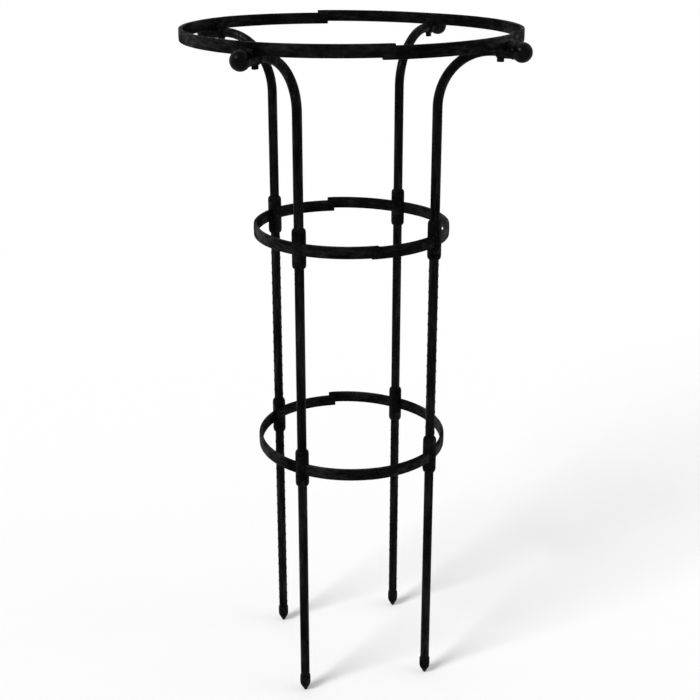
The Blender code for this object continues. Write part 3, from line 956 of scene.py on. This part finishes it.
# %% Build the ball ends
BALL_RADIUS = 11.8 * MM
NECK_RADIUS = 8.8 * MM
BALL_BORE = SPIGOT_RADIUS + CLEARANCE
NECK_START = CLIP_OUTBOARD + CLEARANCE
NECK_FILLET = 1.3 * MM
RIDGE = 0.045 * MM
RIDGE_HALF_WIDTH = 0.16 * MM
GATE_RADIUS = 1.4 * MM
GATE_DEPTH = 0.16 * MM
BALL_COLUMNS = 80


def ball_profile():
    """Radius and distance along the arm, from the floor of the socket to the end of the ball."""
    lip = 0.35 * MM
    edge = 0.6 * MM
    middle = BALL_OUTSIDE_RING
    fillet_radius = NECK_RADIUS + NECK_FILLET
    fillet_place = middle - math.sqrt((BALL_RADIUS + NECK_FILLET) ** 2 - fillet_radius**2)
    touch = math.degrees(math.atan2(fillet_place - middle, fillet_radius))
    rising, ridge = np.linspace(touch, 90, 46), np.linspace(-3, 3, 13)
    latitude = np.radians(np.unique(np.concatenate([rising, ridge])))
    reach = BALL_RADIUS + RIDGE * np.exp(-((latitude * BALL_RADIUS / RIDGE_HALF_WIDTH) ** 2))
    ball = np.stack([reach * np.cos(latitude), middle + reach * np.sin(latitude)], axis=1)
    gate = np.clip(1 - (ball[:, 0] / GATE_RADIUS) ** 2, 0, 1) ** 2 * (ball[:, 1] > middle)
    ball[:, 1] -= GATE_DEPTH * gate
    ball[-1, 0] = 0.0
    return np.concatenate([
        line((0, middle), (BALL_BORE, middle), 3),
        line((BALL_BORE, middle), (BALL_BORE, NECK_START + lip), 5),
        arc((BALL_BORE + lip, NECK_START + lip), 180, 270, lip),
        arc((NECK_RADIUS - edge, NECK_START + edge), -90, 0, edge, 6),
        line((NECK_RADIUS, NECK_START + edge), (NECK_RADIUS, fillet_place), 4)[1:],
        arc((fillet_radius, fillet_place), 180, 180 + touch, NECK_FILLET, 7)[:-1],
        ball,
    ])


def ball_skin(corner):
    """The ball's profile carried round the arm: Z becomes the arm's X, X its Y and Y its Z."""
    profile = ball_profile()
    angles = whole_turn(BALL_COLUMNS)
    laid = turned(profile, angles)[..., [2, 0, 1]]
    placed = at_corner(laid, corner, ring_radius["top"], arm_height)
    return lathe_skin(placed, profile, angles, BALL_RADIUS)


for corner in CORNERS:
    finish_piece(corner + "_ball_end", ball_skin(corner), "ball_black")

# %% [markdown]
# ## Ground points
# A blunt point plugs into each lower tube and is what goes into the soil. In the photograph its
# collar swells a little, its shoulder is rounded and its tip is blunt. The cone touches the round
# tip: a line through the shoulder at half angle b lies one tip radius from the tip's middle when
# shoulder cos b - height sin b = tip. Cone and collar meet in a rounded minimum.

# %% Build the ground points
POINT_RADIUS = 7.0 * MM
POINT_CONE = 10.5 * MM
POINT_COLLAR = 14.0 * MM
POINT_PLUG = 12.0 * MM
POINT_SWELL = 0.22 * MM
POINT_SPARE = 0.01 * MM
POINT_BLEND = 1.3 * MM
TIP_RADIUS = 2.0 * MM
POINT_COLUMNS = 72


def point_profile():
    """Radius and height from the tip, over the shoulder and the collar, to the top of the plug."""
    top = POINT_CONE + POINT_COLLAR
    plug_top = top + POINT_PLUG
    reach = math.hypot(POINT_RADIUS, POINT_CONE - TIP_RADIUS)
    half_angle = math.acos(TIP_RADIUS / reach) - math.atan2(POINT_CONE - TIP_RADIUS, POINT_RADIUS)
    tip = arc((0, TIP_RADIUS), -90, -math.degrees(half_angle), TIP_RADIUS, 9)
    tip[0, 0] = 0.0
    lip = 0.8 * MM
    edge = 0.5 * MM
    heights = np.linspace(tip[-1, 1], top - lip, 60)[1:]
    cone = POINT_RADIUS - (POINT_CONE - heights) * math.tan(half_angle)
    share = np.clip((heights - POINT_CONE) / POINT_COLLAR, 0, 1)
    collar = POINT_RADIUS + POINT_SWELL * np.sin(math.pi * share) + POINT_SPARE
    wall = np.stack([smooth_min(cone, collar, POINT_BLEND), heights], axis=1)
    wall[:3, 0] = cone[:3]
    rim = wall[-1, 0] - lip
    plug = TUBE_INNER - CLEARANCE
    return np.concatenate([
        tip,
        wall,
        arc((rim, top - lip), 0, 90, lip, 7)[1:],
        line((rim, top), (plug, top), 2)[1:],
        line((plug, top), (plug, plug_top - edge), 4),
        arc((plug - edge, plug_top - edge), 0, 90, edge),
        [[0.0, plug_top]],
    ])


def point_skin(corner):
    """The point's profile carried round the leg."""
    profile = point_profile()
    angles = whole_turn(POINT_COLUMNS)
    return lathe_skin(at_corner(turned(profile, angles), corner), profile, angles, POINT_RADIUS)


for corner in CORNERS:
    finish_piece(corner + "_ground_point", point_skin(corner), "moulded_black")

# %% [markdown]
# ## Ring bands
# Each ring is two half bands of one shape, half a turn apart. Between its two legs a half lies level.
# Past them one end drops and steps inwards and the other climbs and steps outwards, so that the ends
# pass each other in a lap, where a peg on one end sits in a hole in the other. The skin is a rounded
# rectangle carried along the arc. Its outer face is crowned by a hair, as the brighter upper part of
# the front band in the photograph suggests, and its ends are rounded off. The hole is a sunk disc in
# the grid of the outer face: square rings of grid lines near it are pulled into circles, (a, b) going
# to q (cos w, sin w) with q = max(|a|, |b|), so that its rim is truly round.

# %% Sizes of the bands
BAND_CORNER = 0.8 * MM
BAND_END_ROUND = 0.8 * MM
BAND_END_THINNING = 0.6
BAND_CROWN = 0.25 * MM
BAND_ROW_STEP = 3.0 * MM
LAP_STEP = 3.0 * MM
LAP_OFFSET = (BAND_THICKNESS + CLEARANCE) / 2
LAP_LENGTH = {"bottom": 8.0 * MM, "middle": 8.0 * MM, "top": 13.0 * MM}
ROWS_PAST_HOLE = {"bottom": 3, "middle": 3, "top": 6}
TOP_LAP_SHIFT = 8.3 * MM
SLEEVE_HOLD = SLEEVE_RADIUS * 1.4
CLIP_HOLD = CHEEK_HALF_WIDTH + TOP_LAP_SHIFT + 0.8 * MM
HOLD = {"bottom": SLEEVE_HOLD, "middle": SLEEVE_HOLD, "top": CLIP_HOLD}
RING_TURN = {"bottom": 0.0, "middle": 0.0, "top": -TOP_LAP_SHIFT / ring_radius["top"]}
PEG_RADIUS = 2.0 * MM
PEG_PROUD = 0.6 * MM
PEG_HEAD_DROP = 0.5 * MM
PEG_HEAD_RUN = 0.55 * MM
PEG_COLUMNS = 32
HOLE_RIM = np.array([2.28, 2.32, 2.36, 2.45]) * MM
HOLE_DEPTH = np.array([1.2, 0.13, 0.04, 0.0]) * MM
PATCH = np.concatenate([np.array([0.0, 0.8, 1.5, 2.0]) * MM, HOLE_RIM, np.array([2.75, 3.1]) * MM])
PATCH_LINES = np.concatenate([-PATCH[:0:-1], PATCH])


# %% Section of a band
def band_columns():
    """Section of the band, four shares to a point: side, round side, level and round level.

    For half thickness t, half height h and corner c, a point lies side (t - c) + round side c
    outwards and level (h - c) + round level c upwards.
    """
    turn = np.radians(np.linspace(90, 0, 5))
    one = np.ones(5)
    quarter = np.stack([one, np.cos(turn), one, np.sin(turn)], axis=1)
    patch = (PATCH_LINES - LAP_STEP / 2) / (BAND_HEIGHT / 2 - BAND_CORNER)
    outer_levels = np.concatenate([np.linspace(1, patch[-1], 6)[1:-1], patch[::-1], [patch[0] - 0.09]])

    def face(side, levels):
        sides = np.full(len(levels), side)
        return np.stack([sides, sides, levels, np.zeros(len(levels))], axis=1)

    edge = np.array([[0.0, 0.0, 1.0, 1.0]])
    return np.concatenate([
        edge, quarter, face(1.0, outer_levels), quarter[::-1] * (1, 1, -1, -1), edge * (1, 1, -1, -1),
        -quarter, face(-1.0, np.linspace(-1, 1, 9)[1:-1]), quarter[::-1] * (-1, -1, 1, 1),
    ])


# %% Rows along a band
def band_rows(level):
    """Places along the arc, in metres from the half's middle, fine at both ends and round the hole."""
    middle_of_lap = ring_radius[level] * QUARTER_TURN
    end = middle_of_lap + LAP_LENGTH[level] / 2
    cap = BAND_END_ROUND * (1 - np.cos(np.radians(np.linspace(0, 90, 7))))
    hole = middle_of_lap + PATCH_LINES
    span = np.linspace(cap[-1] - end, hole[0], int(2 * end / BAND_ROW_STEP))[1:-1]
    after = np.linspace(hole[-1], end - cap[-1], ROWS_PAST_HOLE[level])[1:-1]
    return np.concatenate([cap - end, span, hole, after, end - cap[::-1]]), end


# %% Skin of a band
def band_grid(level):
    """Rounded rectangle along the arc, offset by the lap's step, with its ends and its hole shaped."""
    radius = ring_radius[level]
    run, end = band_rows(level)
    side, round_side, high, round_high = band_columns().T
    from_end = rounding(np.minimum(run + end, end - run), BAND_END_ROUND)[:, None]
    half_thick = BAND_THICKNESS / 2 - from_end * BAND_END_THINNING
    out = side * (half_thick - BAND_CORNER) + round_side * BAND_CORNER
    up = high * (BAND_HEIGHT / 2 - from_end - BAND_CORNER) + round_high * BAND_CORNER
    out -= BAND_CROWN * (side > 0) * (up / BAND_HEIGHT * 2) ** 2
    along = np.broadcast_to(run[:, None], out.shape).copy()
    a = along - radius * QUARTER_TURN
    b = up + LAP_STEP / 2
    square = np.maximum(np.abs(a), np.abs(b))
    near = (round_high == 0) & (side > 0) & (square < PATCH[-1] + HAIR)
    angle = np.arctan2(b, a)
    pull = np.clip((PATCH[-1] - square) / (PATCH[-1] - PATCH[-3]), 0, 1) * near
    along += pull * (square * np.cos(angle) - a)
    up += pull * (square * np.sin(angle) - b)
    out -= np.interp(square, HOLE_RIM, HOLE_DEPTH) * near
    held = QUARTER_TURN / 2 + HOLD[level] / radius
    lap = QUARTER_TURN - LAP_LENGTH[level] / radius / 2
    share = np.interp(run / radius, [-lap, -held, held, lap], [-1, 0, 0, 1])[:, None]
    reach = radius + LAP_OFFSET * share + out
    height = ring_height[level] + LAP_STEP / 2 * share + up
    points = np.stack([reach * np.cos(along / radius), reach * np.sin(along / radius), height], axis=-1)
    caps = np.broadcast_to(points[[0, -1]].mean(axis=1, keepdims=True), (2, *points.shape[1:]))
    section = np.stack([side * BAND_THICKNESS / 2, high * BAND_HEIGHT / 2], axis=1)
    spread = np.concatenate([[run[0] - MM], run, [run[-1] + MM]])
    return grid_skin(np.concatenate([caps[:1], points, caps[1:]]), run_length(section, True), spread)


# %% Skin of a peg
def peg_skin(level):
    """The peg at the half's low end: a short pin with a domed head, along the ring's radius."""
    start = ring_radius[level] - LAP_OFFSET
    end = ring_radius[level] + LAP_OFFSET + BAND_THICKNESS / 2 + PEG_PROUD
    dome = np.radians(np.linspace(0, 90, 9))
    head = np.stack([
        PEG_RADIUS - PEG_HEAD_DROP * (1 - np.cos(dome)), end - PEG_HEAD_RUN * (1 - np.sin(dome))
    ], axis=1)
    crown = line(head[-1], (0, end), 4)[1:]
    profile = np.concatenate([[[0, start]], [[PEG_RADIUS, start]], head, crown, [[0, end]]])
    angles = whole_turn(PEG_COLUMNS)
    x, y, z = np.moveaxis(turned(profile, angles), -1, 0)
    points = np.stack([x, -z, ring_height[level] + y], axis=-1)
    return lathe_skin(points, profile, angles, PEG_RADIUS)


# %% Build the bands
def turned_about_axis(skin, turn):
    """The skin turned about Z: (x, y) goes to (x cos t - y sin t, x sin t + y cos t)."""
    x, y, z = skin[0].T
    cos, sin = math.cos(turn), math.sin(turn)
    return np.stack([x * cos - y * sin, x * sin + y * cos, z], axis=1), skin[1], skin[2]


for level in LEVELS:
    half_band = joined(band_grid(level), peg_skin(level))
    for side, turn in (("right", 0.0), ("left", math.pi)):
        placed = turned_about_axis(half_band, RING_TURN[level] + turn)
        finish_piece(f"{level}_ring_{side}_half", placed, "band_black")

# %% [markdown]
# ## Studio: floor, light and camera
# The photograph shows the support alone on white. A wide pale floor keeps the soft shadow, the world
# is white for the camera and for reflections, and two large soft lamps light the object at a plain
# level. The stronger one stands on the upper left, where the highlights on the balls and on the right
# back tube say it is. The camera looks down by about 19 degrees from the front, a little to the left.

# %% Floor
FLOOR_HALF = 30.0
FLOOR_SOCKETS = {"Base Color": (0.975, 0.975, 0.975, 1.0), "Roughness": 0.9, "Specular IOR Level": 0.0}


def pale_floor():
    """A flat square far wider than the view, so that no edge of it shows behind the object."""
    mesh = bpy.data.meshes.new("floor")
    corners = [(x * FLOOR_HALF, y * FLOOR_HALF, 0) for x, y in ((-1, -1), (1, -1), (1, 1), (-1, 1))]
    mesh.from_pydata(corners, [], [(0, 1, 2, 3)])
    look = bpy.data.materials.new("pale_floor")
    look.use_nodes = True
    for name, value in FLOOR_SOCKETS.items():
        look.node_tree.nodes["Principled BSDF"].inputs[name].default_value = value
    mesh.materials.append(look)
    return add_object("floor", mesh)


floor = pale_floor()

# %% World and lamps
AMBIENT = 0.50
world = bpy.data.worlds.new("white_studio")
bpy.context.scene.world = world
world.use_nodes = True
sky = world.node_tree
rays = add_node(sky, "ShaderNodeLightPath").outputs
seen = maths(sky, "MAXIMUM", rays["Is Camera Ray"], rays["Is Glossy Ray"], rays["Is Transmission Ray"])
sky.links.new(stretch(sky, seen, 0.0, 1.0, AMBIENT, 1.0), sky.nodes["Background"].inputs["Strength"])
sky.nodes["Background"].inputs["Color"].default_value = (1.0, 1.0, 1.0, 1.0)


def soft_sun(name, towards_light, strength, spread):
    """A sun lamp that shines from a direction; its angle in degrees sets how soft the shadow is."""
    lamp = bpy.data.lights.new(name, "SUN")
    lamp.energy = strength
    lamp.angle = math.radians(spread)
    x, y, z = towards_light
    obj = add_object(name, lamp)
    obj.rotation_euler = (math.atan2(math.hypot(x, y), z), 0.0, math.atan2(x, -y))
    obj.location = (x, y, z + 1.0)


soft_sun("key_light", (-0.691, -0.359, 0.62), 2.3, 22.0)
soft_sun("fill_light", (0.75, -0.30, 0.60), 0.35, 40.0)

# %% Camera
FOCAL_PIXELS = 1166.9
IMAGE_WIDTH = 700
SENSOR_WIDTH = 36.0
CAMERA_DISTANCE = 1.4755
CAMERA_ABOVE_MIDDLE_RING = 0.3974
CAMERA_PITCH = math.radians(18.78)
AXIS_COLUMN = 351.5
AXIS_ROW = 302.0
FARTHEST_SEEN = 200.0

camera_data = bpy.data.cameras.new("camera")
camera_data.sensor_width = SENSOR_WIDTH
camera_data.lens = FOCAL_PIXELS * SENSOR_WIDTH / IMAGE_WIDTH
camera_data.shift_x = (IMAGE_WIDTH / 2 - AXIS_COLUMN) / IMAGE_WIDTH
camera_data.shift_y = (AXIS_ROW - IMAGE_WIDTH / 2) / IMAGE_WIDTH
camera_data.clip_end = FARTHEST_SEEN
camera = add_object("camera", camera_data)
camera.location = (
    -CAMERA_DISTANCE * math.sin(CAMERA_TURN),
    -CAMERA_DISTANCE * math.cos(CAMERA_TURN),
    ring_height["middle"] + CAMERA_ABOVE_MIDDLE_RING,
)
camera.rotation_euler = (QUARTER_TURN - CAMERA_PITCH, 0.0, -CAMERA_TURN)
bpy.context.scene.camera = camera
bpy.context.scene.view_settings.view_transform = "Standard"
print("lens", round(camera_data.lens, 2), "shift", round(camera_data.shift_y, 4))
